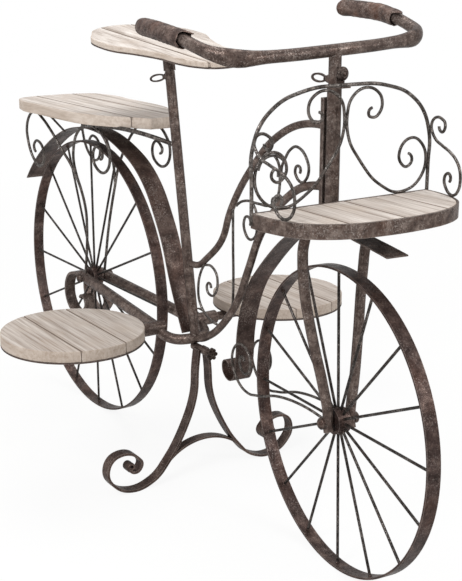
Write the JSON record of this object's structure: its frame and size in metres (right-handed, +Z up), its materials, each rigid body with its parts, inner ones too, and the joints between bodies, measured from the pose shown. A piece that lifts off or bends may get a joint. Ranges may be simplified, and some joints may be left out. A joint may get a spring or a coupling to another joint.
{
  "type": "bicycle planter",
  "caption": "Garden plant stand in the form of a bicycle, of aged iron with whitewashed plank shelves on the saddle, behind it, ahead of the handlebar and on both sides.",
  "frame": {"origin": "on the floor under the middle of the planter's length and width", "axes": "+X ahead along the bicycle, +Y to its left, +Z up"},
  "size_m": [1.3334, 0.682, 0.8448],
  "materials": {
    "wheel_iron": "aged brown lacquer over iron strip",
    "tube_iron": "aged brown lacquer over iron tube",
    "sheet_iron": "aged brown lacquer over flat iron",
    "wire_iron": "aged brown lacquer over round wire",
    "bolt_iron": "dark lacquer over small fittings",
    "grip_iron": "hammered iron sleeve, aged brown",
    "plank": "whitewashed, brushed softwood"
  },
  "bodies": {
    "frame": {"rear_axle": "bolt_iron", "rear_axle_nuts": "bolt_iron", "column": "tube_iron", "column_channel": "tube_iron", "column_bolts": "bolt_iron", "upper_tube": "tube_iron", "lower_tube": "tube_iron", "seat_tube": "tube_iron", "yoke": "tube_iron", "chain_stays": "tube_iron", "arm_sockets": "tube_iron", "rear_fender": "sheet_iron", "fender_struts": "wire_iron", "panel_scrolls": "wire_iron", "rear_shelf_carrier": "wire_iron", "rear_scrolls": "wire_iron", "rear_shelf_planks": "plank", "front_shelf_band": "sheet_iron", "front_shelf_straps": "sheet_iron", "front_shelf_planks": "plank", "gallery_rail": "wire_iron", "gallery_c_scrolls": "wire_iron", "gallery_side_scrolls": "wire_iron", "knob_tab": "sheet_iron", "stand_sleeve": "tube_iron", "stand_bolt": "bolt_iron", "right_stand_leg": "sheet_iron", "left_stand_leg": "sheet_iron", "stand_brace": "sheet_iron"},
    "rear_wheel": {"rear_rim": "wheel_iron", "rear_hub": "wheel_iron", "rear_spokes": "wire_iron"},
    "fork": {"fork": "tube_iron", "front_axle": "bolt_iron", "front_axle_nuts": "bolt_iron", "front_fender": "sheet_iron", "front_fender_stays": "wire_iron"},
    "front_wheel": {"front_rim": "wheel_iron", "front_hub": "wheel_iron", "front_spokes": "wire_iron"},
    "bar_spigot": {"bar_spigot": "tube_iron"},
    "handlebar": {"handlebar": "tube_iron", "grips": "grip_iron"},
    "bar_ring_screw": {"bar_ring_screw": "bolt_iron"},
    "bar_knob": {"bar_knob": "bolt_iron"},
    "seat_post": {"seat_post": "tube_iron"},
    "saddle": {"saddle_socket": "tube_iron", "saddle_plate": "sheet_iron", "saddle_planks": "plank"},
    "seat_ring_screw": {"seat_ring_screw": "bolt_iron"},
    "right_shelf": {"right_arm": "tube_iron", "right_shelf_plate": "sheet_iron", "right_shelf_planks": "plank"},
    "left_shelf": {"left_arm": "tube_iron", "left_shelf_plate": "sheet_iron", "left_shelf_planks": "plank"},
    "right_ring_screw": {"right_ring_screw": "bolt_iron"},
    "left_ring_screw": {"left_ring_screw": "bolt_iron"},
    "stand_knob": {"stand_knob": "bolt_iron"}
  },
  "joints": [
    {"name": "rear_wheel_spin", "type": "hinge", "parent": "frame", "child": "rear_wheel", "pos_m": [-0.383, 0, 0.28], "axis": [0, 1, 0], "continuous": true},
    {"name": "fork_steer", "type": "hinge", "parent": "frame", "child": "fork", "pos_m": [0.395, 0, 0.56], "axis": [0, 0, 1], "range_deg": [-24, 0]},
    {"name": "front_wheel_spin", "type": "hinge", "parent": "fork", "child": "front_wheel", "pos_m": [0.4288, -0.00367, 0.238], "axis": [0.108, 0.9942, 0], "continuous": true},
    {"name": "bar_turn", "type": "hinge", "parent": "frame", "child": "bar_spigot", "pos_m": [0.395, 0, 0.737], "axis": [0, 0, 1], "range_deg": [-30, 30]},
    {"name": "bar_height", "type": "slide", "parent": "bar_spigot", "child": "handlebar", "axis": [0, 0, 1], "range_m": [0, 0.02]},
    {"name": "bar_ring_screw_turn", "type": "hinge", "parent": "handlebar", "child": "bar_ring_screw", "pos_m": [0.38, 0, 0.744], "axis": [-1, 0, 0], "continuous": true},
    {"name": "bar_knob_turn", "type": "hinge", "parent": "frame", "child": "bar_knob", "pos_m": [0.41, 0, 0.7535], "axis": [1, 0, 0], "continuous": true},
    {"name": "seat_height", "type": "slide", "parent": "frame", "child": "seat_post", "axis": [-0.164, 0, 0.9865], "range_m": [0, 0.04]},
    {"name": "saddle_turn", "type": "hinge", "parent": "seat_post", "child": "saddle", "pos_m": [-0.06673, 0, 0.7275], "axis": [-0.164, 0, 0.9865], "range_deg": [-25, 25]},
    {"name": "seat_ring_screw_turn", "type": "hinge", "parent": "frame", "child": "seat_ring_screw", "pos_m": [-0.06446, 0, 0.71389], "axis": [-0.9865, 0, -0.164], "continuous": true},
    {"name": "right_shelf_slide", "type": "slide", "parent": "frame", "child": "right_shelf", "axis": [0, -1, 0], "range_m": [0, 0.025]},
    {"name": "left_shelf_slide", "type": "slide", "parent": "frame", "child": "left_shelf", "axis": [0, 1, 0], "range_m": [0, 0.025]},
    {"name": "right_ring_screw_turn", "type": "hinge", "parent": "frame", "child": "right_ring_screw", "pos_m": [-0.06, -0.071, 0.2663], "axis": [-1, 0, 0], "continuous": true},
    {"name": "left_ring_screw_turn", "type": "hinge", "parent": "frame", "child": "left_ring_screw", "pos_m": [-0.06, 0.071, 0.2663], "axis": [-1, 0, 0], "continuous": true},
    {"name": "stand_knob_turn", "type": "hinge", "parent": "frame", "child": "stand_knob", "pos_m": [0.065, 0, 0.238], "axis": [1, 0, 0], "continuous": true}
  ]
}
